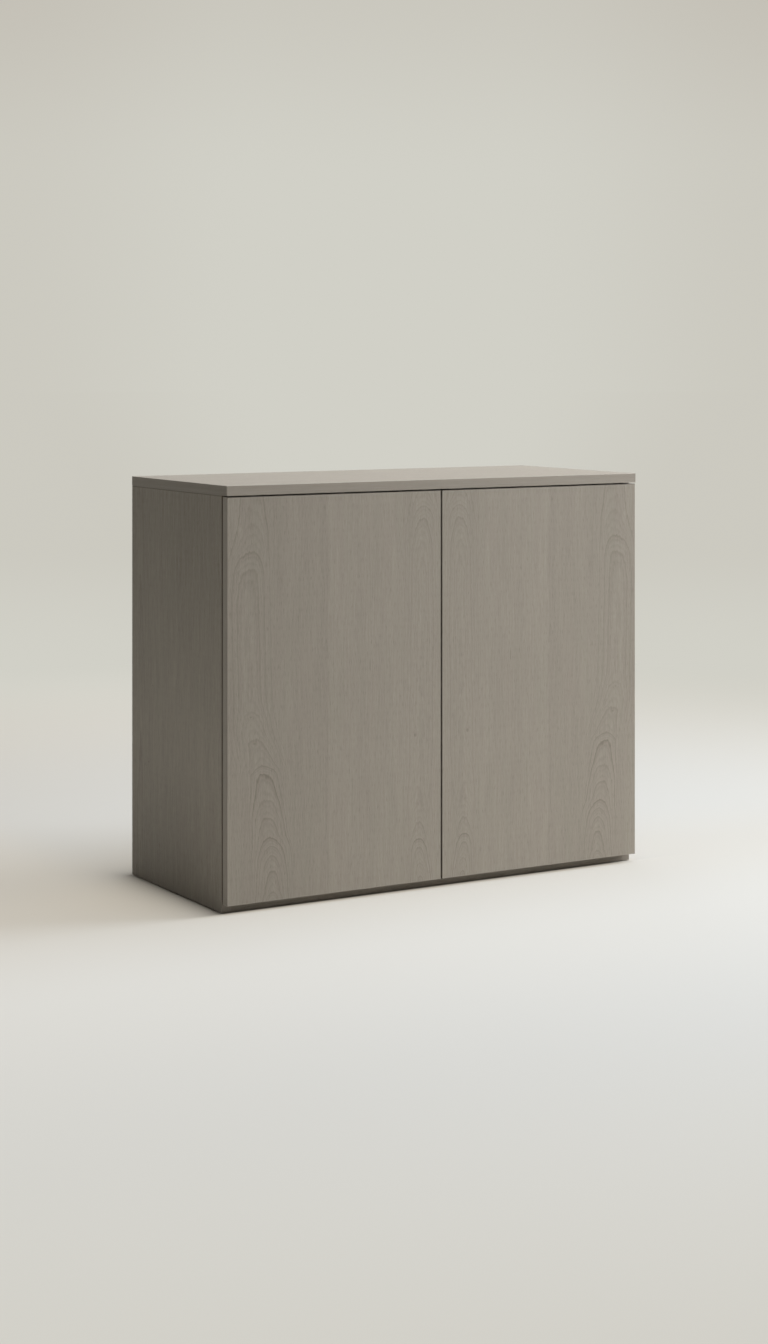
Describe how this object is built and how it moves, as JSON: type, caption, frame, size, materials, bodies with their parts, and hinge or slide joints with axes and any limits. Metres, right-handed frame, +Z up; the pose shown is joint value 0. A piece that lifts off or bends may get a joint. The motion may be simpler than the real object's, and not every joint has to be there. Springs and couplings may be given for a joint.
{
  "type": "office credenza",
  "caption": "Low two-door cupboard of wood-grain laminate boards with handleless push-to-open doors, one lift-out shelf and levelling feet.",
  "frame": {"origin": "centre of the footprint, on the floor", "axes": "+X to the right seen from the front, +Y to the back (doors face -Y), +Z up"},
  "size_m": [0.9, 0.4, 0.765],
  "materials": {
    "wood_laminate": "matt grey-taupe wood-grain laminate",
    "edge_banding": "matt edge banding in the laminate colour",
    "back_board": "plain thin board",
    "beech_dowel": "fluted beech",
    "zinc_casting": "dull die-cast zinc",
    "nickel_steel": "nickel-plated pressed steel",
    "zinc_steel": "bright zinc-plated steel",
    "grey_plastic": "moulded grey plastic",
    "dark_plastic": "moulded black plastic"
  },
  "bodies": {
    "carcass": {"top_panel": "wood_laminate", "left_side_panel": "wood_laminate", "right_side_panel": "wood_laminate", "bottom_panel": "wood_laminate", "back_panel": "back_board", "front_plinth": "wood_laminate", "rear_plinth": "wood_laminate", "top_edge_bands": "edge_banding", "left_side_edge_bands": "edge_banding", "right_side_edge_bands": "edge_banding", "bottom_edge_band": "edge_banding", "cam_locks": "zinc_casting", "cam_bolts": "zinc_steel", "dowels": "beech_dowel", "back_screws": "zinc_steel", "hinge_mounting_plates": "zinc_casting", "hinge_arms": "nickel_steel", "hinge_arm_pins": "zinc_steel", "hinge_plate_screws": "zinc_steel", "hinge_adjusting_screws": "zinc_steel", "latch_housings": "grey_plastic", "latch_screws": "zinc_steel", "shelf_supports": "zinc_steel", "foot_brackets": "dark_plastic", "foot_bracket_screws": "zinc_steel", "access_caps": "dark_plastic"},
    "shelf": {"shelf": "wood_laminate", "shelf_edge_bands": "edge_banding"},
    "left_outer_links": {"left_outer_links": "nickel_steel"},
    "left_door": {"left_door_panel": "wood_laminate", "left_door_edge_bands": "edge_banding", "left_hinge_cups": "nickel_steel", "left_cup_pins": "zinc_steel", "left_cup_screws": "zinc_steel", "left_strike_plate": "nickel_steel", "left_strike_screw": "zinc_steel"},
    "left_inner_links": {"left_inner_links": "nickel_steel"},
    "left_latch_plunger": {"left_latch_plunger": "grey_plastic"},
    "right_outer_links": {"right_outer_links": "nickel_steel"},
    "right_door": {"right_door_panel": "wood_laminate", "right_door_edge_bands": "edge_banding", "right_hinge_cups": "nickel_steel", "right_cup_pins": "zinc_steel", "right_cup_screws": "zinc_steel", "right_strike_plate": "nickel_steel", "right_strike_screw": "zinc_steel"},
    "right_inner_links": {"right_inner_links": "nickel_steel"},
    "right_latch_plunger": {"right_latch_plunger": "grey_plastic"},
    "front_left_foot": {"front_left_foot_pad": "dark_plastic", "front_left_foot_spindle": "zinc_steel"},
    "front_right_foot": {"front_right_foot_pad": "dark_plastic", "front_right_foot_spindle": "zinc_steel"},
    "rear_left_foot": {"rear_left_foot_pad": "dark_plastic", "rear_left_foot_spindle": "zinc_steel"},
    "rear_right_foot": {"rear_right_foot_pad": "dark_plastic", "rear_right_foot_spindle": "zinc_steel"}
  },
  "joints": [
    {"name": "left_outer_link_turn", "type": "hinge", "parent": "carcass", "child": "left_outer_links", "pos_m": [-0.406, -0.166, 0.38075], "axis": [0, 0, -1], "range_deg": [-25.16, 0.05]},
    {"name": "left_door_swing", "type": "hinge", "parent": "left_outer_links", "child": "left_door", "pos_m": [-0.4362, -0.1845, 0.38075], "axis": [0, 0, -1], "range_deg": [0, 120.11]},
    {"name": "left_inner_link_turn", "type": "hinge", "parent": "carcass", "child": "left_inner_links", "pos_m": [-0.4196, -0.19075, 0.38075], "axis": [0, 0, -1], "range_deg": [-36.46, 0.05]},
    {"name": "left_latch_push", "type": "slide", "parent": "carcass", "child": "left_latch_plunger", "axis": [0, -1, 0], "range_m": [0, 0.01205]},
    {"name": "right_outer_link_turn", "type": "hinge", "parent": "carcass", "child": "right_outer_links", "pos_m": [0.406, -0.166, 0.38075], "axis": [0, 0, 1], "range_deg": [-25.16, 0.05]},
    {"name": "right_door_swing", "type": "hinge", "parent": "right_outer_links", "child": "right_door", "pos_m": [0.4362, -0.1845, 0.38075], "axis": [0, 0, 1], "range_deg": [0, 120.11]},
    {"name": "right_inner_link_turn", "type": "hinge", "parent": "carcass", "child": "right_inner_links", "pos_m": [0.4196, -0.19075, 0.38075], "axis": [0, 0, 1], "range_deg": [-36.46, 0.05]},
    {"name": "right_latch_push", "type": "slide", "parent": "carcass", "child": "right_latch_plunger", "axis": [0, -1, 0], "range_m": [0, 0.01205]},
    {"name": "shelf_lift", "type": "slide", "parent": "carcass", "child": "shelf", "axis": [0, 0, 1], "range_m": [0, 0.032]},
    {"name": "front_left_foot_drop", "type": "slide", "parent": "carcass", "child": "front_left_foot", "axis": [0, 0, 1], "range_m": [-0.012, 0]},
    {"name": "front_right_foot_drop", "type": "slide", "parent": "carcass", "child": "front_right_foot", "axis": [0, 0, 1], "range_m": [-0.012, 0]},
    {"name": "rear_left_foot_drop", "type": "slide", "parent": "carcass", "child": "rear_left_foot", "axis": [0, 0, 1], "range_m": [-0.012, 0]},
    {"name": "rear_right_foot_drop", "type": "slide", "parent": "carcass", "child": "rear_right_foot", "axis": [0, 0, 1], "range_m": [-0.012, 0]}
  ],
  "couplings": [
    {"joint": "left_outer_link_turn", "follows": "left_door_swing", "ratio": -0.20905},
    {"joint": "left_inner_link_turn", "follows": "left_door_swing", "ratio": -0.30317},
    {"joint": "left_latch_push", "follows": "left_door_swing", "m_per_rad": 0.0057244},
    {"joint": "right_outer_link_turn", "follows": "right_door_swing", "ratio": -0.20905},
    {"joint": "right_inner_link_turn", "follows": "right_door_swing", "ratio": -0.30317},
    {"joint": "right_latch_push", "follows": "right_door_swing", "m_per_rad": 0.0057244}
  ]
}
